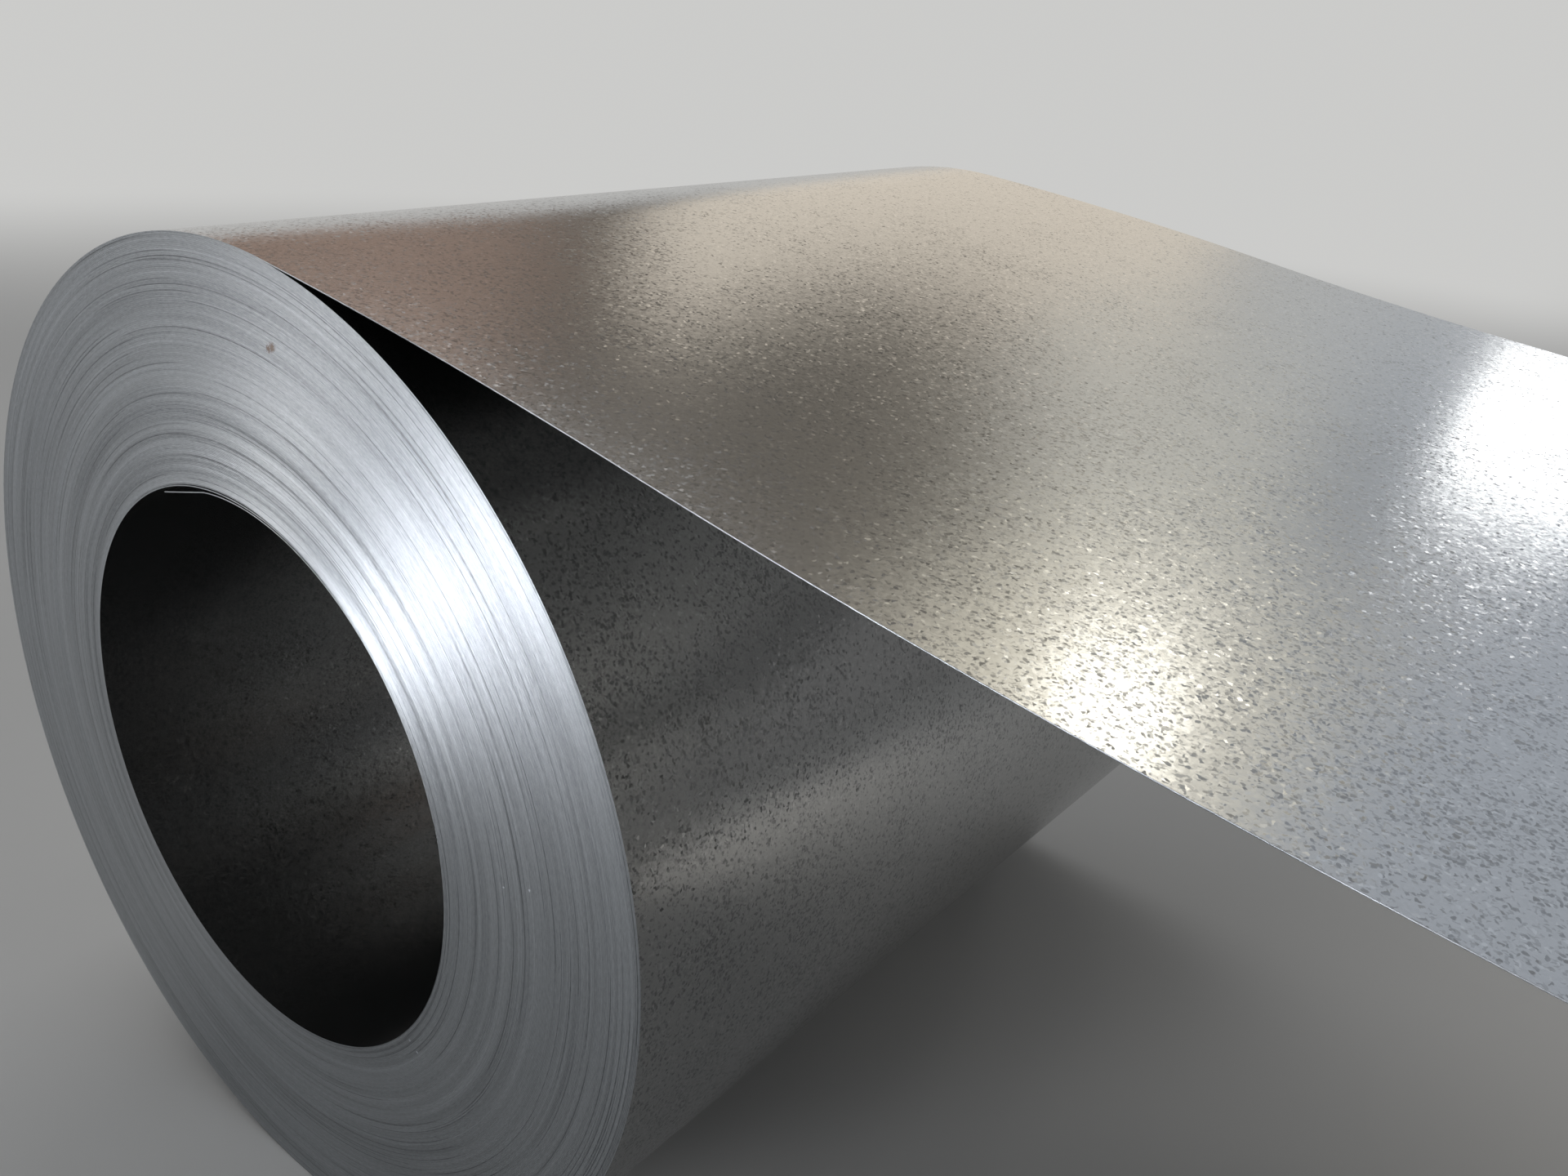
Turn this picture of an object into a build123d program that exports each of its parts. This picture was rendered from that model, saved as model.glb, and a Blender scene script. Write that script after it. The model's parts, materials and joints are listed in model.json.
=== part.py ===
"""A coil of galvanised steel strip, lying on its side with its leading end paid off.

The frame is in millimetres. The origin is on the coil's axis at the middle of its width, +Y runs along
the axis, +X is the way the strip leaves, and +Z is up. The coil rests on a level floor below it.
"""
import math
import os

from build123d import *

# The wound body
BORE_RADIUS = 305.0
OUTER_RADIUS = 546.0
STRIP_WIDTH = 1250.0
STRIP_GAUGE = 1.2

# The turns wandered sideways as they were wound, so the inner ones stand out of the near end
# and lie back in the far end by the same amount
TELESCOPE_SHIFT = 10.0
TELESCOPE_POWER = 2.2
RING_GROUPS = 14
RING_WANDER = (0.0, 1.1, 0.4, 1.5, 0.7)
OUTER_LAP_DEPTH = 9.0
LAP_OVERLAP = 4.0

# The first turn starts in the bore, where its end leaves a step one gauge deep
INNER_END_ANGLE = 112.0
INNER_END_RUN_OUT = 60.0

# The paid-off end. Headings are in degrees below level. The near edge leaves the coil a little
# further round than the far edge does, so the strip is slightly wound up along its length
NEAR_LEAVING_ANGLE = 8.0
FAR_LEAVING_ANGLE = 5.6
SAG_LENGTH = 450.0
SAG_RADIUS = 6550.0
RISE_LENGTH = 730.0
RISE_RADIUS = 6940.0
DROP_RADIUS = 640.0
LANDING_RADIUS = 640.0
TAIL_END_X = 2950.0
CROTCH_GAP = 0.6

CLEARANCE_BEYOND = 20.0


def upward_normal(heading):
    """Square to the direction of travel, on the strip's upper side."""
    angle = math.radians(heading)
    return Vector(math.sin(angle), 0, math.cos(angle))


def on_circle(radius, degrees, y):
    """A point on a circle about the coil's axis, counted from +X towards +Z."""
    angle = math.radians(degrees)
    return Vector(radius * math.cos(angle), y, radius * math.sin(angle))


def spiral_quarters(leaving_angle, y):
    """The outermost turn as quarter arcs, whose centres step round a small square.

    It starts where the strip leaves and runs back round the coil, coming in by one gauge. Each quarter
    is its centre, its radius and the angle that it starts at.
    """
    step = STRIP_GAUGE / 4
    centre = Vector(0, y, 0)
    quarters = []
    for number in range(4):
        start = 90.0 - leaving_angle + number * 90.0
        quarters.append((centre, OUTER_RADIUS - number * step, start))
        centre = centre + on_circle(step, start + 90.0, 0)
    return quarters


def spiral_turn(leaving_angle, y, stop_short):
    """Edges of the outermost turn, which stops short of a full turn by an angle."""
    edges = []
    for number, (centre, radius, start) in enumerate(spiral_quarters(leaving_angle, y)):
        end = start + 90.0 - (stop_short if number == 3 else 0.0)
        three = [centre + on_circle(radius, degrees, 0) for degrees in (start, (start + end) / 2, end)]
        edges.append(ThreePointArc(*three))
    return edges


def floor_height():
    """The coil's lowest line, in the third quarter of its outermost turn."""
    centre, radius, start = spiral_quarters(NEAR_LEAVING_ANGLE, 0.0)[2]
    return centre.Z - radius


class StripPath:
    """The upper side of one edge of the strip, as tangent arcs from the coil to the floor."""

    def __init__(self, leaving_angle, y):
        start = on_circle(OUTER_RADIUS, 90.0 - leaving_angle, y)
        self.points = [start]
        self.headings = [leaving_angle]
        self.bends = []
        self.bend(SAG_RADIUS, leaving_angle + math.degrees(SAG_LENGTH / SAG_RADIUS))
        self.bend(-RISE_RADIUS, self.headings[-1] - math.degrees(RISE_LENGTH / RISE_RADIUS))
        steepest = self.steepest_heading()
        self.bend(DROP_RADIUS, steepest)
        self.bend(-LANDING_RADIUS, 0.0)

    def steepest_heading(self):
        """The heading between the drop and the landing that brings the strip down to lie on the floor."""
        drop = self.points[-1].Z - (floor_height() + STRIP_GAUGE)
        level_share = DROP_RADIUS * math.cos(math.radians(self.headings[-1])) + LANDING_RADIUS - drop
        return math.degrees(math.acos(level_share / (DROP_RADIUS + LANDING_RADIUS)))

    def bend(self, radius, end_heading):
        """Adds an arc: a positive radius bends the strip down, a negative one bends it up."""
        centre = self.points[-1] - upward_normal(self.headings[-1]) * radius
        self.bends.append((centre, radius, self.headings[-1], end_heading))
        self.points.append(centre + upward_normal(end_heading) * radius)
        self.headings.append(end_heading)

    def side(self, depth, first_heading=None):
        """Edges of the face that lies at a depth below the upper side, from the coil to the landing."""
        edges = []
        for number, (centre, radius, start, end) in enumerate(self.bends):
            if number == 0 and first_heading is not None:
                start = first_heading
            middle = (start + end) / 2
            three = [centre + upward_normal(heading) * (radius - depth) for heading in (start, middle, end)]
            edges.append(ThreePointArc(*three))
        return edges


def lap_section(leaving_angle, y):
    """Outline of the outermost turn with the paid-off strip, at one edge of the strip."""
    path = StripPath(leaving_angle, y)
    # The underside parts from the turn below it where the gap has opened to CROTCH_GAP
    opening_angle = math.degrees(math.acos(1 - CROTCH_GAP / OUTER_RADIUS))
    opening_length = OUTER_RADIUS * math.sin(math.radians(opening_angle))
    first_heading = leaving_angle + math.degrees(opening_length / SAG_RADIUS)
    turn = spiral_turn(leaving_angle, y, opening_angle)
    upper = path.side(0.0)
    under = path.side(STRIP_GAUGE, first_heading)
    landing = path.points[-1]
    tail_top = Vector(TAIL_END_X, y, landing.Z)
    tail_bottom = tail_top - Vector(0, 0, STRIP_GAUGE)
    tail = [
        Line(upper[-1] @ 1, tail_top),
        Line(tail_top, tail_bottom),
        Line(tail_bottom, under[-1] @ 1),
    ]
    crotch = Line(under[0] @ 0, turn[-1] @ 1)
    outline = turn + upper + tail + under + [crotch]
    return make_face(Curve(outline)).face()


def paid_off_lap():
    """The outermost turn and the strip that leaves it, over the full width."""
    half_width = STRIP_WIDTH / 2
    near = lap_section(NEAR_LEAVING_ANGLE, -half_width)
    far = lap_section(FAR_LEAVING_ANGLE, half_width)
    solid = loft([near, far], ruled=True)
    length = STRIP_WIDTH + 2 * CLEARANCE_BEYOND
    inside = Cylinder(OUTER_RADIUS - OUTER_LAP_DEPTH, length, rotation=(90, 0, 0))
    return solid - inside


def ring_shift(number):
    """How far a group of turns stands out of the near end. Group 0 is the outermost."""
    share = number / (RING_GROUPS - 1)
    wander = RING_WANDER[number % len(RING_WANDER)] * min(1.0, number / 2)
    return TELESCOPE_SHIFT * share ** TELESCOPE_POWER + wander * (1 - share)


def wound_body():
    """The wound turns as one turned solid, with their groups stepped at both ends."""
    outer = OUTER_RADIUS - OUTER_LAP_DEPTH + LAP_OVERLAP
    group_width = (outer - BORE_RADIUS) / RING_GROUPS
    half_width = STRIP_WIDTH / 2
    near_side = []
    far_side = []
    for number in range(RING_GROUPS):
        rim = outer - number * group_width
        shift = ring_shift(number)
        near_side += [(rim, -half_width - shift), (rim - group_width, -half_width - shift)]
        far_side += [(rim, half_width - shift), (rim - group_width, half_width - shift)]
    corners = near_side + far_side[::-1]
    profile = make_face(Polyline(*corners, close=True))
    return revolve(profile, Axis.Y, 360)


def inner_end_step():
    """What the first turn's end leaves open: a step of one gauge that runs out along the bore."""
    length = STRIP_WIDTH + 2 * (TELESCOPE_SHIFT + CLEARANCE_BEYOND)
    start = -length / 2
    stepped = BORE_RADIUS + STRIP_GAUGE
    run_out = INNER_END_ANGLE + INNER_END_RUN_OUT
    middle = INNER_END_ANGLE + INNER_END_RUN_OUT / 2
    inside = BORE_RADIUS - LAP_OVERLAP
    outline = [
        Line(on_circle(inside, INNER_END_ANGLE, start), on_circle(stepped, INNER_END_ANGLE, start)),
        ThreePointArc(
            on_circle(stepped, INNER_END_ANGLE, start),
            on_circle((stepped + BORE_RADIUS) / 2, middle, start),
            on_circle(BORE_RADIUS, run_out, start),
        ),
        Line(on_circle(BORE_RADIUS, run_out, start), on_circle(inside, run_out, start)),
        ThreePointArc(
            on_circle(inside, run_out, start),
            on_circle(inside, middle, start),
            on_circle(inside, INNER_END_ANGLE, start),
        ),
    ]
    return extrude(make_face(Curve(outline)), amount=length, dir=(0, 1, 0))


def steel_coil():
    """The whole coil as one solid."""
    coil = wound_body() + paid_off_lap()
    return coil - inner_end_step()


os.makedirs("parts", exist_ok=True)
coil = steel_coil()
export_step(coil, "parts/steel_coil.step")
path = StripPath(NEAR_LEAVING_ANGLE, 0.0)
print("near edge points", [(round(point.X, 1), round(point.Z, 1)) for point in path.points])
print("near edge headings", [round(heading, 2) for heading in path.headings])
print("turns", round((OUTER_RADIUS - BORE_RADIUS) / STRIP_GAUGE))
print("volume in cubic metres", round(coil.volume / 1e9, 4))
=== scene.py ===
# %% [markdown]
# A coil of galvanised steel strip, lying on its side, with its leading end paid off over the top.
#
# The real thing is one very long strip. It was rolled up into some two hundred turns, so what looks like
# one solid is layer on layer of sheet, and its two ends show the cut edge of every turn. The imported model
# is loaded first. It fixes the sizes and the frame: metres, the coil's axis along Y, the floor below.

# %% Load the frame
import json
import math

import bmesh
import bpy
from mathutils import Euler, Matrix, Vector, noise


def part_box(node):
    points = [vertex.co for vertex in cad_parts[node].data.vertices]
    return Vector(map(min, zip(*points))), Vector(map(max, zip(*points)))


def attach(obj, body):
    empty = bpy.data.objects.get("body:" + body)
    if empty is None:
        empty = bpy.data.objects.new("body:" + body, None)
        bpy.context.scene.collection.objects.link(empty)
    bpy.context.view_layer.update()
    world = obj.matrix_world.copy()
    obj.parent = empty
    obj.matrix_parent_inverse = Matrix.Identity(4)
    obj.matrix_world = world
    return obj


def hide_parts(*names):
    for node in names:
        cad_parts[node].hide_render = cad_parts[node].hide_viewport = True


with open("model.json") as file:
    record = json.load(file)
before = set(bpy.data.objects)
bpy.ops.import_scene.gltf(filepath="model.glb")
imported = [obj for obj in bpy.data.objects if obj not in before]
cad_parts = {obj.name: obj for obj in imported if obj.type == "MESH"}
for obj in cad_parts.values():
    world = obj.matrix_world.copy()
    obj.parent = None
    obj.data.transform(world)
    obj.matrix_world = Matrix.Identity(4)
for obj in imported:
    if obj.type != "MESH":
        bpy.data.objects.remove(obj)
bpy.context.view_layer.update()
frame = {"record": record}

lowest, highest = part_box("steel_coil")
print("frame", [round(value, 4) for value in (*lowest, *highest)])

# %% [markdown]
# Sizes come from the frame wherever it states them. The bore and the width are in the record, and the
# box gives the outer radius, the floor and the end of the strip. What is left over from the width is how
# far the inner turns stand out of the near end. Only what the frame can't say is written here, such as
# the gauge and the way the strip bends on its way down.

# %% Sizes
MM = 0.001
bore = next(mount for mount in frame["record"]["mounts"] if mount["name"] == "bore")
BORE_RADIUS = bore["dims"]["r_mm"] * MM
STRIP_WIDTH = bore["dims"]["length_mm"] * MM
OUTER_RADIUS = round(highest.z, 3)
FLOOR_HEIGHT = lowest.z
TAIL_END = highest.x
TELESCOPE = highest.y - lowest.y - STRIP_WIDTH
GAUGE = 1.2 * MM

NEAR_EDGE = -STRIP_WIDTH / 2
FAR_EDGE = STRIP_WIDTH / 2

# Degrees past the top at which the near and the far edge leave the coil
NEAR_LEAVING = 8.0
FAR_LEAVING = 5.6

# The strip's bends, as a length and a radius, and a negative radius bends it up
SAG = (0.450, 6.550)
RISE = (0.730, -6.940)
DROP_RADIUS = 0.640
LANDING_RADIUS = 0.640

print("telescoped", round(TELESCOPE, 4), "floor", round(FLOOR_HEIGHT, 4))

# %% [markdown]
# The turns are a spiral, so a place on the wound strip is best told by a number of turns: 0 where the
# near edge leaves the coil, and from there inwards to the strip's first end, which lies in the bore. The
# pitch is the gauge with the little air between the turns.

# %% The spiral
FULL_TURN = 2 * math.pi
LEAVING_ANGLE = math.radians(90.0 - NEAR_LEAVING)
FIRST_END_ANGLE = math.radians(112.0)
WHOLE_TURNS = math.floor((OUTER_RADIUS - BORE_RADIUS) / GAUGE)
LAST_PLACE = WHOLE_TURNS - 1 + (FIRST_END_ANGLE - LEAVING_ANGLE) / FULL_TURN
PITCH = (OUTER_RADIUS - BORE_RADIUS) / (LAST_PLACE + 1)


def unwound(wound):
    """Length of strip between the leaving line and a place on the spiral."""
    return FULL_TURN * (OUTER_RADIUS * wound - PITCH * wound * wound / 2)


print("turns", round(LAST_PLACE + 1, 2), "pitch in millimetres", round(PITCH / MM, 4))
print("metres of strip", round(unwound(LAST_PLACE)))

# %% [markdown]
# A finish is a material made of nodes. Typing each node and link by hand is slow to read, so one small
# class wraps a socket and lets plain Python arithmetic add the Math nodes: writing 1 - mask adds a
# Subtract node. A second class holds the material and has the one method that adds any other node.

# %% Shader arithmetic
class Value:
    """One output socket. Arithmetic on it adds Math nodes to its tree."""

    def __init__(self, finish, socket):
        self.finish = finish
        self.socket = socket

    def out(self, name):
        return Value(self.finish, self.socket.node.outputs[name])

    def maths(self, operation, *others):
        return self.finish.add("ShaderNodeMath", {"operation": operation}, dict(enumerate(others)))

    def __add__(self, other):
        return self.maths("ADD", self, other)

    def __radd__(self, other):
        return self.maths("ADD", other, self)

    def __sub__(self, other):
        return self.maths("SUBTRACT", self, other)

    def __rsub__(self, other):
        return self.maths("SUBTRACT", other, self)

    def __mul__(self, other):
        return self.maths("MULTIPLY", self, other)

    def __rmul__(self, other):
        return self.maths("MULTIPLY", other, self)

    def __lt__(self, other):
        return self.maths("LESS_THAN", self, other)

    def __gt__(self, other):
        return self.maths("GREATER_THAN", self, other)

    def part(self):
        """What is left after the whole number."""
        return self.maths("FRACT", self)

    def larger(self, other):
        """The larger of two."""
        return self.maths("MAXIMUM", self, other)

    def step(self, low, high):
        """Rises smoothly from 0 at low to 1 at high."""
        kinds = {"interpolation_type": "SMOOTHSTEP"}
        inputs = {"Value": self, "From Min": low, "From Max": high}
        return self.finish.add("ShaderNodeMapRange", kinds, inputs)


class Finish:
    """A node tree under construction."""

    def __init__(self, tree):
        self.tree = tree
        tree.nodes.clear()

    def add(self, kind, settings=None, inputs=None, output=0):
        """Adds one node: its settings first, then the values or links of its sockets."""
        node = self.tree.nodes.new(kind)
        for name, setting in (settings or {}).items():
            setattr(node, name, setting)
        for name, given in (inputs or {}).items():
            if isinstance(given, Value):
                self.tree.links.new(given.socket, node.inputs[name])
            else:
                node.inputs[name].default_value = given
        return Value(self, node.outputs[output]) if node.outputs else node

    def attribute(self, name):
        """A vector that every vertex carries."""
        return self.add("ShaderNodeAttribute", {"attribute_name": name}).out("Vector")

    def axes(self, vector):
        """The three numbers of a vector."""
        split = self.add("ShaderNodeSeparateXYZ", {}, {"Vector": vector})
        return split.out("X"), split.out("Y"), split.out("Z")

    def join(self, x, y, z):
        return self.add("ShaderNodeCombineXYZ", {}, {"X": x, "Y": y, "Z": z})

    def vector(self, operation, *others):
        return self.add("ShaderNodeVectorMath", {"operation": operation}, dict(enumerate(others)))

    def scaled(self, vector, factor):
        return self.add("ShaderNodeVectorMath", {"operation": "SCALE"}, {0: vector, "Scale": factor})

    def number(self, operation, *others):
        """Vector Math that gives a number, such as a length."""
        return self.vector(operation, *others).out("Value")

    def mix(self, factor, low, high):
        """A colour between two colours."""
        return self.add("ShaderNodeMix", {"data_type": "RGBA"}, {0: factor, 6: low, 7: high}, 2)

    def tilted(self, lean):
        """The surface normal, leant over by a vector."""
        normal = self.add("ShaderNodeNewGeometry", {}, {}, "Normal")
        return self.vector("NORMALIZE", self.vector("ADD", normal, lean))

    def metal(self, colour, roughness, normal):
        shader = self.add("ShaderNodeBsdfPrincipled", {}, {"Base Color": colour, "Metallic": 1.0,
                                                           "Roughness": roughness, "Normal": normal})
        self.add("ShaderNodeOutputMaterial", {}, {"Surface": shader})


def material(name):
    made = bpy.data.materials.new(name)
    made.use_nodes = True
    return made, Finish(made.node_tree)


print("shader arithmetic ready")

# %% [markdown]
# The zinc coat of galvanised steel freezes as small crystals, the spangle. Each lies at its own slant,
# so under one light a few flash, a few go dark and the rest are a satin grey. Painting light and dark
# spots alone looks printed, so each crystal also gets a slightly different slant through the normal.
# The crystals are cells of a Voronoi texture in two sizes, with a noise that makes their outlines drift.
# The dull ones crowd in cloudy patches, more of them towards the near edge. The pattern is measured on
# the flat strip, which every vertex remembers, so it follows the bends.

# %% The galvanised finish
CRYSTAL_SIZE = 2.9 * MM
SMALL_CRYSTAL_SIZE = 1.7 * MM
DRIFT_SIZE = 4.5 * MM
PATCH_SIZE = 110.0 * MM
DARK_ZINC = (0.11, 0.115, 0.12, 1)
PALE_ZINC = (0.94, 0.945, 0.94, 1)

# One bright speck, by its place on the flat strip and how far its middle and its edge reach
SPECK_PLACE = (0.281, -0.5347, 0.0)
SPECK_REACH = (0.8 * MM, 1.6 * MM)


def galvanised():
    made, finish = material("galvanised_spangle")
    x, y = finish.axes(finish.attribute("flat_place"))[:2]
    flat = finish.join(x, y, 0.0)

    def blotches(size, detail):
        inputs = {"Vector": flat, "Scale": 1 / size, "Detail": detail}
        return finish.add("ShaderNodeTexNoise", {"noise_dimensions": "2D"}, inputs)

    drift = finish.vector("SUBTRACT", blotches(DRIFT_SIZE, 2.0).out("Color"), (0.5, 0.5, 0.5))
    place = finish.vector("ADD", flat, finish.scaled(drift, DRIFT_SIZE))

    def crystals(size):
        kinds = {"voronoi_dimensions": "2D", "feature": "F1"}
        inputs = {"Vector": place, "Scale": 1 / size, "Randomness": 1.0}
        return finish.add("ShaderNodeTexVoronoi", kinds, inputs)

    large = crystals(CRYSTAL_SIZE)
    small = crystals(SMALL_CRYSTAL_SIZE)
    near = 1 - y.step(-0.5, 0.5)
    crowd = (blotches(PATCH_SIZE, 3.0).out("Fac") + 0.3 * near).step(0.5, 0.9)
    core = 1 - large.out("Distance").step(0.4, 0.75)
    pick, forth, aside = finish.axes(large.out("Color"))
    small_pick, small_forth = finish.axes(small.out("Color"))[:2]
    large_dull = (pick < 0.06 + 0.17 * crowd) * core
    small_dull = 0.5 * (small_pick < 0.10 + 0.16 * crowd)
    dull = large_dull.larger(small_dull)
    light = (pick > 0.92) * core * (1 - dull)
    speck = 1 - finish.number("DISTANCE", flat, SPECK_PLACE).step(*SPECK_REACH)
    tone = 0.54 + 0.05 * (small_forth - 0.5) - 0.26 * dull + 0.10 * light + 0.5 * speck
    colour = finish.mix(tone, DARK_ZINC, PALE_ZINC)
    slant = finish.join(forth - 0.5, aside - 0.5, forth - aside)
    steep = 0.02 + 0.12 * dull + 0.07 * light
    finish.metal(colour, 0.18 + 0.04 * dull, finish.tilted(finish.scaled(slant, steep)))
    return made


spangle = galvanised()
print("finish", spangle.name)

# %% [markdown]
# The near end has a few marks: bright nicks, where something hard has struck the edges, and a brown
# smudge. They could be small pieces of their own, but a mark has no thickness, so each is a spot in the
# finish. It is told by its place on the end, and a noise makes its outline ragged.

# %% Marks on the near end
RAGGED_SCALE = 700.0

# Each nick: radius in metres, degrees, size in millimetres and how bright it is
NICKS = (
    (0.3860, 7.4, 1.3, 1.0),
    (0.4190, 8.4, 1.6, 1.0),
    (0.3150, -40.1, 1.5, 1.0),
    (0.3285, -40.3, 1.8, 0.8),
)
NICK_MIDDLE = 0.4
NICK_RAGGED = 2.4 * MM

# Each part of the smudge: radius in metres, degrees and size in millimetres
SMUDGE = (
    (0.4735, 79.2, 6.0),
    (0.4702, 79.8, 4.5),
)
SMUDGE_MIDDLE = 0.3
SMUDGE_RAGGED = 8.0 * MM


def on_near_end(radius, degrees):
    angle = math.radians(degrees)
    return Vector((radius * math.cos(angle), 0.0, radius * math.sin(angle)))


def marks(finish):
    """How bright the nicks and how brown the smudge make each place of an end."""
    place = finish.add("ShaderNodeTexCoord", {}, {}, "Object")
    level = finish.vector("MULTIPLY", place, (1.0, 0.0, 1.0))
    inputs = {"Vector": place, "Scale": RAGGED_SCALE, "Detail": 2.0}
    ragged = finish.add("ShaderNodeTexNoise", {}, inputs).out("Fac")

    def near_to(radius, degrees, size, middle, waver):
        """1 in the middle share of a mark's size, and 0 outside the mark."""
        centre = on_near_end(radius, degrees)
        away = finish.number("DISTANCE", level, centre) + waver * (ragged - 0.5)
        return 1 - away.step(middle * size * MM, size * MM)

    nicked = 0.0
    for radius, degrees, size, strength in NICKS:
        nicked = nicked + strength * near_to(radius, degrees, size, NICK_MIDDLE, NICK_RAGGED)
    brown = 0.0
    for radius, degrees, size in SMUDGE:
        brown = near_to(radius, degrees, size, SMUDGE_MIDDLE, SMUDGE_RAGGED).larger(brown)
    return nicked, brown


print("marks", len(NICKS) + len(SMUDGE))

# %% [markdown]
# The ends show some two hundred cut edges side by side. A slitting shear leaves each edge a little
# rounded, bright and fine-grained, and no two turns lie quite level. What the eye sees is rings of
# thin light and dark lines, and a bright band across them, as on a vinyl record, because every edge
# leans towards or away from the axis. Every vertex carries its place on the strip, the direction that
# leads out of the coil there, and its depth in turns along that direction. What is left of the depth
# after the whole turns tells how far across its own thickness an edge is.
#
# A noise along the strip gives every turn a tone of its own, and a noise in rings gives tones that
# neighbours share. Here and there two turns lie a little apart, and the dark line there is painted shade,
# most of them in the outer turns. Each edge's two rounded sides, next to its neighbours, get painted shade
# as well. Towards the bore the turns lie in soft ridges, which lean the normal, and whose light and dark
# bands are painted into the tone as shading.

# %% The cut edges' finish
DARK_STEEL = (0.06, 0.065, 0.07, 1)
PALE_STEEL = (0.80, 0.84, 0.88, 1)
SMUDGE_BROWN = (0.14, 0.085, 0.05, 1)

# How much of its thickness an edge's rounding takes on each side
ROUNDING = 0.22

# In turns from the outside: where the painted shade of the gaps thins out, and where the ridges grow
GAP_SHADES_FADE = (6.0, 60.0)
RIDGES_GROW = (50.0, 190.0)


def cut_edges():
    made, finish = material("cut_edges")
    along, y, depth = finish.axes(finish.attribute("flat_place"))
    outwards = finish.attribute("outwards")
    out_x, out_z = finish.axes(outwards)[::2]
    angle = out_z.maths("ARCTAN2", out_z, out_x)
    back = ((angle - LEAVING_ANGLE) * (1 / FULL_TURN)).part()
    across = (depth - back).part()

    def along_strip(length, detail):
        """Its own pattern for every turn, which changes over a length of the strip."""
        inputs = {"W": along * (1 / length), "Detail": detail}
        return finish.add("ShaderNodeTexNoise", {"noise_dimensions": "1D"}, inputs).out("Fac")

    def rings(turns, stretch, detail):
        """A pattern that neighbouring turns share."""
        spread = finish.scaled(outwards, stretch)
        lines = finish.vector("ADD", spread, finish.join(0.0, depth * (1 / turns), 0.0))
        inputs = {"Vector": lines, "Scale": 1.0, "Detail": detail}
        return finish.add("ShaderNodeTexNoise", {}, inputs).out("Fac")

    single = along_strip(1.3, 1.0)
    streak = along_strip(0.045, 2.0)
    group = rings(3.6, 1.1, 3.0)
    broad = rings(17.0, 0.5, 1.0)
    # Where two turns lie apart, a dark line of painted shade, mostly in the outer turns
    outer = 1 - depth.step(*GAP_SHADES_FADE)
    gap_shade = (along_strip(2.6, 0.0) + 0.07 * outer).step(0.70, 0.76)
    # Soft ridges towards the bore: they lean the normal, and their bands are also painted into the tone as
    # shading
    ridge = depth.step(*RIDGES_GROW) * (rings(9.5, 0.35, 1.0) - 0.5)
    # 1 in the middle of each edge and 0 at its rounded sides, which get painted shade between the turns
    unshaded_middle = across.step(0.0, ROUNDING) * (1 - across.step(1 - ROUNDING, 1.0))
    near_side = y < NEAR_EDGE / 2
    nicked, brown = marks(finish)
    tone = 0.46 + 0.24 * (single - 0.5) + 0.26 * (streak - 0.5) + 0.2 * (group - 0.5)
    # Painted shade at each edge's rounded sides and along the gaps between turns
    tone = tone + 0.16 * (broad - 0.5) - 0.12 * (1 - unshaded_middle) - 0.2 * gap_shade
    # The ridges' light and dark bands are painted shading, and the nicks are bright bare metal
    tone = tone + 0.5 * ridge + 0.8 * near_side * nicked
    steel = finish.mix(tone, DARK_STEEL, PALE_STEEL)
    colour = finish.mix(0.75 * near_side * brown, steel, SMUDGE_BROWN)
    lean = 0.75 - 0.9 * across + 0.18 * (single - 0.5) + 0.18 * (streak - 0.5) + 0.1 * (group - 0.5)
    lean = lean + 1.5 * ridge
    finish.metal(colour, 0.38 + 0.06 * (group - 0.5), finish.tilted(finish.scaled(outwards, lean)))
    return made


edges = cut_edges()
print("finish", edges.name)

# %% [markdown]
# The strip between the coil and the floor. It is walked as a chain of arcs: each has a length and a
# curvature, so the heading grows evenly along it. Two arcs are stated, and the last two are worked out:
# they turn the strip down and lay it level on the floor.

# %% The strip's path
class Thread:
    """The line that one thread of the strip follows over its upper side, in the XZ plane."""

    def __init__(self, leaving):
        self.leaving = math.radians(90.0 - leaving)
        x, z = OUTER_RADIUS * math.cos(self.leaving), OUTER_RADIUS * math.sin(self.leaving)
        self.arcs = []
        heading = math.radians(leaving)
        for length, radius in (SAG, RISE):
            x, z, heading = self.bend(x, z, heading, length, 1 / radius)
        drop = z - FLOOR_HEIGHT - GAUGE
        level = DROP_RADIUS * math.cos(heading) + LANDING_RADIUS - drop
        steepest = math.acos(level / (DROP_RADIUS + LANDING_RADIUS))
        x, z, heading = self.bend(x, z, heading, (steepest - heading) * DROP_RADIUS, 1 / DROP_RADIUS)
        x, z, heading = self.bend(x, z, heading, steepest * LANDING_RADIUS, -1 / LANDING_RADIUS)
        self.bend(x, z, heading, TAIL_END - x, 0.0)

    def bend(self, x, z, heading, length, curvature):
        self.arcs.append((x, z, heading, length, curvature))
        return self.walk(len(self.arcs) - 1, 1.0)

    def walk(self, number, share):
        """Where a share of one arc ends, with its heading."""
        x, z, heading, length, curvature = self.arcs[number]
        step = length * share
        if curvature == 0.0:
            return x + step * math.cos(heading), z - step * math.sin(heading), heading
        turned = heading + curvature * step
        return (x + (math.sin(turned) - math.sin(heading)) / curvature,
                z + (math.cos(turned) - math.cos(heading)) / curvature, turned)

    def length_to(self, number, share):
        return sum(arc[3] for arc in self.arcs[:number]) + self.arcs[number][3] * share


near_thread = Thread(NEAR_LEAVING)
print("arcs", [(round(arc[0], 3), round(arc[1], 3), round(arc[3], 3)) for arc in near_thread.arcs])

# %% [markdown]
# Every piece of the coil starts as a flat grid, like the sheet before it was wound, and each vertex is
# then moved to its place. Bending a sheet of known length keeps the width, the length and the finish
# true. The helpers here make the grid, note on every vertex what the finishes read, and give the sheet
# its gauge with the operator solidify.

# %% From a flat grid to a piece
SHARP_ANGLE = math.radians(30.0)


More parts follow.
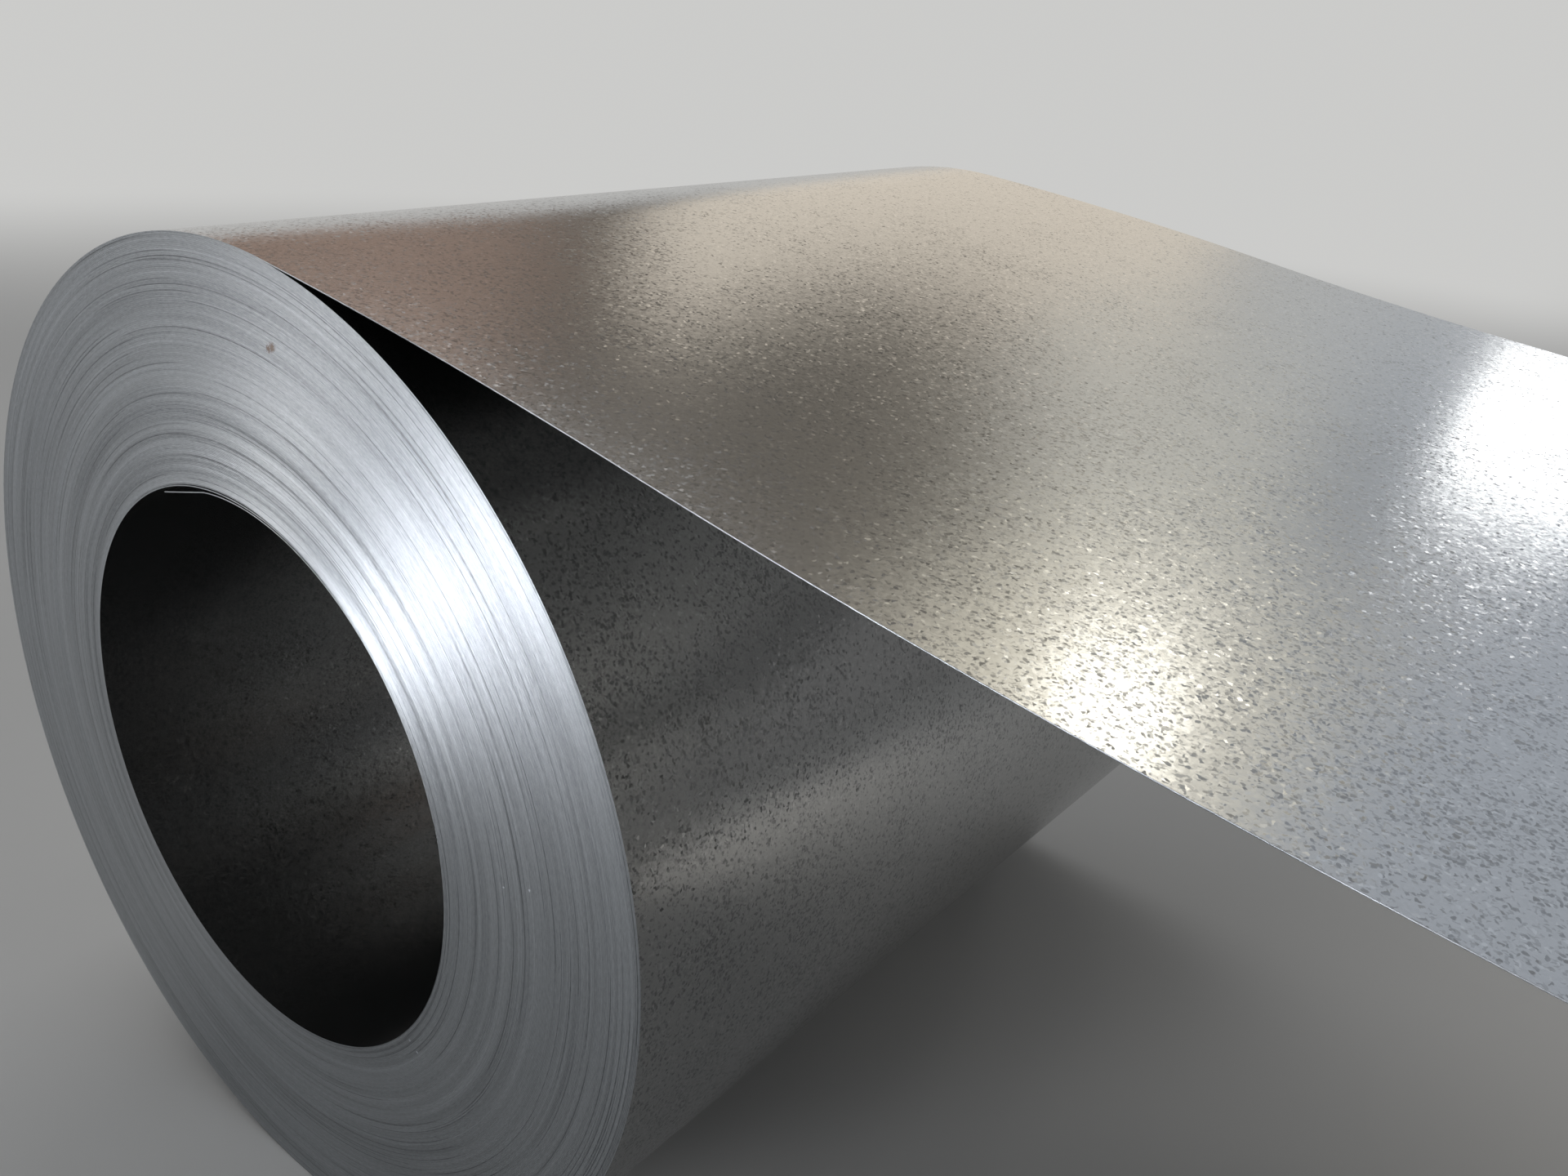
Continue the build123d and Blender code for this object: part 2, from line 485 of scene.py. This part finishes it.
class FlatGrid:
    """A bmesh grid with the strip's own coordinates on its vertices."""

    def __init__(self, columns, rows):
        self.bm = bmesh.new()
        bmesh.ops.create_grid(self.bm, x_segments=columns, y_segments=rows, size=0.5)
        self.flat = self.bm.verts.layers.float_vector.new("flat_place")
        self.outwards = self.bm.verts.layers.float_vector.new("outwards")
        self.places = []
        for vertex in self.bm.verts:
            column = round((vertex.co.x + 0.5) * columns)
            row = round((vertex.co.y + 0.5) * rows)
            self.places.append((vertex, column, row))

    def put(self, vertex, co, along, depth, outwards):
        vertex.co = co
        vertex[self.flat] = (along, co[1], depth)
        vertex[self.outwards] = outwards

    def face_towards(self, direction):
        """Turns all faces so that the first one looks in a direction, told by its centre."""
        bmesh.ops.recalc_face_normals(self.bm, faces=self.bm.faces)
        first = self.bm.faces[:][0]
        if first.normal.dot(direction(first.calc_center_median())) < 0:
            bmesh.ops.reverse_faces(self.bm, faces=self.bm.faces)

    def thicken(self, depth_step):
        """Gives the sheet its gauge. The cut edges all round it get the second finish."""
        outside = set(self.bm.verts)
        bmesh.ops.solidify(self.bm, geom=self.bm.faces[:], thickness=GAUGE)
        for vertex in self.bm.verts:
            if vertex not in outside:
                along, y, depth = vertex[self.flat]
                vertex[self.flat] = (along, y, depth + depth_step)
        for face in self.bm.faces:
            sides = {vertex in outside for vertex in face.verts}
            face.material_index = len(sides) - 1
        self.bm.normal_update()

    def piece(self, name, finishes):
        """Makes the object, smooth except along its sharp edges."""
        open_edges = sum(1 for edge in self.bm.edges if edge.is_boundary)
        for face in self.bm.faces:
            face.smooth = True
        for edge in self.bm.edges:
            edge.smooth = edge.calc_face_angle(0.0) < SHARP_ANGLE
        mesh = bpy.data.meshes.new(name)
        self.bm.to_mesh(mesh)
        self.bm.free()
        for finish in finishes:
            mesh.materials.append(finish)
        piece = bpy.data.objects.new(name, mesh)
        bpy.context.scene.collection.objects.link(piece)
        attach(piece, "root")
        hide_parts("steel_coil")
        sides = sum(len(polygon.vertices) - 2 for polygon in mesh.polygons)
        corners = (piece.bound_box[0], piece.bound_box[6])
        reach = [round(value, 4) for corner in corners for value in corner]
        print(name, "triangles", sides, "open edges", open_edges, "box", reach)


print("helpers ready")

# %% [markdown]
# No turn lies quite level with its neighbours. As the coil was wound the strip wandered sideways, so
# the inner turns stand out of the near end, in soft ridges a dozen turns wide that grow towards the
# bore. Single turns stand a little proud or back as well. The same amount counts at both ends, because
# the strip's width doesn't change.

# %% How far each turn stands out
TELESCOPE_POWER = 2.2

# Kept back from the smooth rise, as room for the ridges on top of it
RIDGE_ROOM = 1.4 * MM

# How many turns a ridge, a small group and a single turn's own place take
RIDGE_TURNS = 10.5
GROUP_TURNS = 4.3
SINGLE_TURNS = 0.7

# The outermost turns, which lie more and more level
FLUSH_TURNS = 4


def unevenness(turns, seed):
    return noise.noise(Vector((turns, seed, 0.0)))


def stands_out(wound):
    """How far the strip's near edge stands out of the near end, at a place on the spiral."""
    share = max(0.0, wound / LAST_PLACE)
    rise = (TELESCOPE - RIDGE_ROOM) * share ** TELESCOPE_POWER
    ridge = (0.10 + 1.2 * share ** 1.5) * unevenness(wound / RIDGE_TURNS, 3.0)
    group = 0.16 * unevenness(wound / GROUP_TURNS, 9.0)
    single = 0.10 * unevenness(wound / SINGLE_TURNS, 17.0)
    uneven = (0.35 + ridge + group + single) * MM
    return rise + uneven * min(1.0, wound / FLUSH_TURNS)


print("stands out", [round(stands_out(wound) / MM, 2) for wound in (0.0, 50.0, 100.0, 150.0, LAST_PLACE)])

# %% [markdown]
# The outermost turn and the strip that leaves it are one sheet, so they are modelled as one. The far
# edge leaves the coil a little earlier than the near edge, so each thread of the strip has its own path.
# A long sheet is never quite flat, and a wave of a tenth of a millimetre is enough to bend what it
# mirrors.

# %% The outer turn with the paid-off strip
OVERLAP_TURNS = 0.03
COIL_COLUMNS = 250
ARC_COLUMNS = (30, 40, 36, 36, 14)
SHEET_ROWS = 50

# The wave grows over a length from the coil, and fades before the part that lies on the floor
WAVE_HEIGHT = 0.12 * MM
WAVE_GROWS = 0.3
LYING_LENGTH = 0.7
WAVE_FADES = 0.4


def sheet_stations():
    """From the hidden start of the turn to the cut end: turns back, or an arc and a share of it."""
    stations = []
    for column in range(COIL_COLUMNS):
        stations.append((None, (1.0 + OVERLAP_TURNS) * (1 - column / COIL_COLUMNS)))
    for number, columns in enumerate(ARC_COLUMNS):
        stations += [(number, column / columns) for column in range(columns)]
    stations.append((len(ARC_COLUMNS) - 1, 1.0))
    return stations


def sheet_wave(along, x, y):
    """The sheet's own unevenness, which dies out at the coil and on the floor."""
    wave = WAVE_HEIGHT * noise.noise(Vector((along * 3.1, y * 4.3, 0.7)))
    above_floor = max(0.0, TAIL_END - x - LYING_LENGTH)
    return wave * min(1.0, along / WAVE_GROWS) * min(1.0, above_floor / WAVE_FADES)


def rolled_sheet():
    stations = sheet_stations()
    grid = FlatGrid(len(stations) - 1, SHEET_ROWS)
    threads = []
    for row in range(SHEET_ROWS + 1):
        threads.append(Thread(NEAR_LEAVING + (FAR_LEAVING - NEAR_LEAVING) * row / SHEET_ROWS))
    for vertex, column, row in grid.places:
        thread = threads[row]
        number, share = stations[column]
        y = NEAR_EDGE + STRIP_WIDTH * row / SHEET_ROWS
        if number is None:
            angle = thread.leaving + share * FULL_TURN
            up = Vector((math.cos(angle), 0.0, math.sin(angle)))
            rim = up * (OUTER_RADIUS - PITCH * share)
            x, z = rim.x, rim.z
            along = -unwound(share)
        else:
            x, z, heading = thread.walk(number, share)
            angle = math.pi / 2 - heading
            up = Vector((math.cos(angle), 0.0, math.sin(angle)))
            along = thread.length_to(number, share)
            wave = sheet_wave(along, x, y)
            x, z = x + wave * up.x, z + wave * up.z
        grid.put(vertex, (x, y, z), along, (angle - LEAVING_ANGLE) / FULL_TURN, up)
    grid.face_towards(lambda centre: Vector((centre.x, 0.0, centre.z)))
    grid.thicken(1.0)
    grid.piece("outer_turn_and_strip", (spangle, edges))


rolled_sheet()

# %% [markdown]
# The two ends. Another flat grid is rolled up, this time with two rows for each turn and one column for
# each step round the coil, so the rows become the turn's two corners and the grid a true spiral: after a
# full turn, each row meets the row of the next turn, and the doubles there are merged. The grid's two
# open rims are then extruded into the coil and bridged, which closes the piece.

# %% The ends
# Each turn's two corners lie this share of the pitch inside its faces
CORNER = 0.10
MERGE_DISTANCE = 0.02 * MM
END_COLUMNS = 240
END_DEPTH = 40 * MM
FIRST_WOUND = 1
LAST_WOUND = math.floor(LAST_PLACE) - 2


def wound_end(name, edge, facing):
    """The edges of all turns but the outermost and the last two, seen at one end."""
    rows = 2 * (LAST_WOUND - FIRST_WOUND) - 1
    grid = FlatGrid(END_COLUMNS, rows)
    for vertex, column, row in grid.places:
        step = column / END_COLUMNS
        wound = FIRST_WOUND + row // 2 + step
        depth = wound + (1 - CORNER if row % 2 else CORNER)
        angle = LEAVING_ANGLE + step * FULL_TURN
        outwards = Vector((math.cos(angle), 0.0, math.sin(angle)))
        corner = outwards * (OUTER_RADIUS - PITCH * depth)
        corner.y = edge - stands_out(wound)
        grid.put(vertex, corner, -unwound(wound), depth, outwards)
    bm = grid.bm
    bmesh.ops.remove_doubles(bm, verts=bm.verts, dist=MERGE_DISTANCE)
    grid.face_towards(lambda centre: Vector((0.0, facing, 0.0)))
    rim = [side for side in bm.edges if side.is_boundary]
    walls = bmesh.ops.extrude_edge_only(bm, edges=rim)["geom"]
    inner = [item for item in walls if isinstance(item, bmesh.types.BMVert)]
    bmesh.ops.translate(bm, verts=inner, vec=(0.0, -facing * END_DEPTH, 0.0))
    inner_rim = [side for side in bm.edges if side.is_boundary]
    bmesh.ops.bridge_loops(bm, edges=inner_rim)
    bmesh.ops.recalc_face_normals(bm, faces=bm.faces)
    grid.piece(name, (edges,))


wound_end("near_end_turns", NEAR_EDGE, -1)
wound_end("far_end_turns", FAR_EDGE, 1)

# %% [markdown]
# The innermost turns line the bore. The last one is the first that was wound, and its end was bent over
# to be gripped, so it lies flat for its last few centimetres and springs a few millimetres off the turn
# behind it. That turn stands off a little too. In one place the edge is rubbed ragged.

# %% The first turns in the bore
LINER_START = LAST_WOUND
LEAD_DEGREES = 15.0
SPRING_DEGREES = 56.0
SPRING_GAP = 3.5 * MM
SECOND_GAP = 1.2 * MM
SECOND_SPRING = (354.0, 412.0)
TORN = (97.0, 104.0)
TORN_DEPTH = 3.0 * MM
LINER_COLUMN_DEGREES = 2.0
TORN_COLUMN_DEGREES = 0.25
LINER_ROWS = (0.0, 0.004, 0.012, 0.03, 0.06, 0.1, 0.15, 0.2, 0.25, 0.3, 0.35, 0.4, 0.45,
              0.5, 0.55, 0.6, 0.65, 0.7, 0.75, 0.8, 0.85, 0.9, 0.95, 1.0)


def liner_radius(wound):
    """Inner radius of the lining turns at a place on the spiral."""
    base = OUTER_RADIUS - PITCH * (wound + 1)
    back = (LAST_PLACE - wound) * 360.0
    if back < LEAD_DEGREES:
        lead = math.radians(LEAD_DEGREES)
        chord = math.radians(back) - lead / 2
        return (BORE_RADIUS - SPRING_GAP) * math.cos(lead / 2) / math.cos(chord)
    if back < LEAD_DEGREES + SPRING_DEGREES:
        lift = 1 - (back - LEAD_DEGREES) / SPRING_DEGREES
        return base - SPRING_GAP * lift ** 1.3
    start, end = SECOND_SPRING
    if start < back < end:
        return base - SECOND_GAP * math.sin(math.pi * (back - start) / (end - start)) ** 2
    return base


def liner_stations():
    """Degrees back from the first end, close together where the edge is torn."""
    start, end = TORN
    stations = []
    degrees = (LAST_PLACE - LINER_START) * 360.0
    while degrees > 0.0:
        stations.append(degrees)
        degrees -= TORN_COLUMN_DEGREES if start < degrees <= end else LINER_COLUMN_DEGREES
    return stations + [0.0]


def torn(degrees):
    """How far the near edge is torn back."""
    start, end = TORN
    if not start < degrees < end:
        return 0.0
    coarse = abs(noise.noise(Vector((degrees * 1.3, 5.0, 0.0))))
    fine = abs(noise.noise(Vector((degrees * 4.1, 8.0, 0.0))))
    arch = math.sin(math.pi * (degrees - start) / (end - start)) ** 0.5
    return TORN_DEPTH * (coarse + 0.5 * fine) * arch


def first_turns():
    stations = liner_stations()
    grid = FlatGrid(len(stations) - 1, len(LINER_ROWS) - 1)
    for vertex, column, row in grid.places:
        wound = LAST_PLACE - stations[column] / 360.0
        angle = LEAVING_ANGLE + wound * FULL_TURN
        y = NEAR_EDGE - stands_out(wound) + STRIP_WIDTH * LINER_ROWS[row]
        if row < 2:
            y += torn(stations[column])
        outwards = Vector((math.cos(angle), 0.0, math.sin(angle)))
        co = outwards * liner_radius(wound)
        co.y = y
        grid.put(vertex, co, -unwound(wound), wound + 1, outwards)
    grid.face_towards(lambda centre: Vector((-centre.x, 0.0, -centre.z)))
    grid.thicken(-1.0)
    grid.piece("first_turns", (spangle, edges))


first_turns()

# %% [markdown]
# The studio. Metal shows what is around it, so the room matters as much as the lamps. The room is plain
# and without edges: a pale wall behind the coil, warm and bright above it, a cooler side to the right, a
# dim ceiling, and a quiet grey elsewhere. Each is a soft spot around one direction, and a later one lies
# over those before it. Directions are given as a compass would give them, in degrees from +Y towards +X,
# with the height above the horizon. A matt floor would add up the light of the whole room, so it only
# gets the lower fill light. Far out it takes on the room's own colour, so that no horizon shows.

# %% The room
ROOM = (0.34, 0.34, 0.34, 1)
FILL = (0.13, 0.132, 0.135, 1)

# Each spot: azimuth, elevation, degrees to its middle and to its edge, and its colour
SPOTS = (
    (60, -5, 20, 45, (0.17, 0.17, 0.17, 1)),
    (-38, -2, 34, 50, (0.60, 0.60, 0.59, 1)),
    (-38, 42, 24, 34, (0.14, 0.12, 0.10, 1)),
    (0, 28, 10, 21, (0.52, 0.56, 0.62, 1)),
    (-29, 17.5, 10, 14, (0.88, 0.79, 0.67, 1)),
    (-14, 28, 7, 11, (0.67, 0.66, 0.61, 1)),
    (-14, 36, 1, 10, (1.15, 1.07, 0.88, 1)),
    (-28, 29.5, 3, 10.5, (0.15, 0.135, 0.115, 1)),
    (-60, 26, 10, 18, (0.34, 0.24, 0.19, 1)),
    (-6, 23, 2, 6, (0.36, 0.39, 0.43, 1)),
)


def towards(azimuth, elevation):
    """A unit vector in a direction of the room."""
    across, up = math.radians(azimuth), math.radians(elevation)
    return Vector((math.sin(across) * math.cos(up), math.cos(across) * math.cos(up), math.sin(up)))


def room_colour(finish, direction):
    colour = ROOM
    for azimuth, elevation, middle, edge, shade in SPOTS:
        nearness = finish.number("DOT_PRODUCT", direction, towards(azimuth, elevation))
        inside = nearness.step(math.cos(math.radians(edge)), math.cos(math.radians(middle)))
        colour = finish.mix(inside, colour, shade)
    return colour


def seen(finish):
    """1 for what the camera sees, itself or in a mirror, and 0 for what only lights the matt floor."""
    rays = finish.add("ShaderNodeLightPath", {}, {}, "Is Camera Ray")
    return rays + rays.out("Is Glossy Ray") + rays.out("Is Transmission Ray")


def room():
    world = bpy.data.worlds.new("studio")
    bpy.context.scene.world = world
    world.use_nodes = True
    finish = Finish(world.node_tree)
    direction = finish.add("ShaderNodeTexCoord", {}, {}, "Generated")
    colour = finish.mix(seen(finish), FILL, room_colour(finish, direction))
    light = finish.add("ShaderNodeBackground", {}, {"Color": colour, "Strength": 1.0})
    finish.add("ShaderNodeOutputWorld", {}, {"Surface": light})


room()
print("room of", len(SPOTS), "spots")

# %% [markdown]
# The floor is one large matt face, so big that the camera never meets its rim. Two shaders are mixed by
# the distance from the coil: a pale matt paint near it, which keeps the coil's shadow, and far out a
# plain glow in the colour that the room has at the horizon.

# %% The floor
FLOOR_REACH = 60.0
FLOOR_COLOUR = (0.74, 0.74, 0.73, 1)
HAZE_GROWS = (3.5, 8.0)


def pale_floor():
    bm = bmesh.new()
    bmesh.ops.create_grid(bm, x_segments=1, y_segments=1, size=FLOOR_REACH)
    bmesh.ops.translate(bm, verts=bm.verts, vec=(0.0, 0.0, FLOOR_HEIGHT))
    mesh = bpy.data.meshes.new("floor")
    bm.to_mesh(mesh)
    bm.free()
    floor = bpy.data.objects.new("floor", mesh)
    bpy.context.scene.collection.objects.link(floor)
    made, finish = material("pale_floor")
    place = finish.add("ShaderNodeTexCoord", {}, {}, "Object")
    level = finish.vector("MULTIPLY", place, (1.0, 1.0, 0.0))
    far = finish.number("LENGTH", level).step(*HAZE_GROWS)
    matt = finish.add("ShaderNodeBsdfPrincipled", {}, {"Base Color": FLOOR_COLOUR, "Roughness": 0.9})
    horizon = room_colour(finish, finish.vector("NORMALIZE", level))
    haze = finish.add("ShaderNodeEmission", {}, {"Color": horizon})
    both = finish.add("ShaderNodeMixShader", {}, {0: far * seen(finish), 1: matt, 2: haze})
    finish.add("ShaderNodeOutputMaterial", {}, {"Surface": both})
    mesh.materials.append(made)


pale_floor()
print("floor at", round(FLOOR_HEIGHT, 4))

# %% [markdown]
# The lamps are soft. The key stands low in front of the near end and makes the bright band across the
# cut edges, and the side key widens it to the left. Both shine in so narrow a beam that they spare the
# floor, which the dark flank mirrors. One lamp overhead lights the floor, and one behind gives the flank
# its warm sheen. The last two are the glints on the strip.

# %% Lamps
def soft_lamp(name, target, azimuth, elevation, distance, size, brightness,
              spread=180.0, colour=(1.0, 1.0, 1.0)):
    """A flat lamp that faces its target. Brightness is how bright its face looks, where 1 is white."""
    data = bpy.data.lights.new(name, "AREA")
    data.shape = "RECTANGLE"
    data.size, data.size_y = size
    data.energy = brightness * math.pi * size[0] * size[1]
    data.spread = math.radians(spread)
    data.color = colour
    lamp = bpy.data.objects.new(name, data)
    away = towards(azimuth, elevation)
    lamp.location = Vector(target) + away * distance
    lamp.rotation_euler = away.to_track_quat("Z", "Y").to_euler()
    bpy.context.scene.collection.objects.link(lamp)
    print("lamp", name, "at", [round(value, 2) for value in lamp.location])


soft_lamp("key", (0.15, -0.6, 0.25), -166, 4, 4.0, (2.4, 1.0), 0.76, 26.0, (0.94, 0.96, 1.0))
soft_lamp("side_key", (0.0, -0.6, 0.25), -138, 18, 4.0, (1.6, 1.0), 0.15, 26.0, (1.0, 0.98, 0.96))
soft_lamp("overhead", (-2.6, 0.4, 0.0), 0, 90, 4.5, (4.5, 6.0), 0.95)
soft_lamp("behind", (1.85, 0.80, -0.54), 62, 38, 2.5, (0.5, 0.4), 1.3, 32.0, (1.0, 0.94, 0.86))
soft_lamp("near_glint", (0.87, -0.58, 0.40), -12, 35, 3.5, (0.32, 0.26), 4.5, colour=(1.0, 0.97, 0.89))
soft_lamp("far_glint", (0.94, 0.23, 0.41), -4, 18, 4.0, (0.5, 0.4), 4.0)

# %% [markdown]
# The camera stands at the near end, to the right, and looks down over the coil. Its lens is a little
# wide, so the near end looms larger than the far one.

# %% Camera
LENS = 31.336
CAMERA_PLACE = (1.1507, -1.2734, 0.7700)
CAMERA_DEGREES = (66.66, -3.649, 38.63)

camera_data = bpy.data.cameras.new("camera")
camera_data.lens = LENS
camera = bpy.data.objects.new("camera", camera_data)
camera.location = CAMERA_PLACE
camera.rotation_euler = Euler([math.radians(degrees) for degrees in CAMERA_DEGREES])
bpy.context.scene.collection.objects.link(camera)
bpy.context.scene.camera = camera
bpy.context.scene.view_settings.view_transform = "Standard"
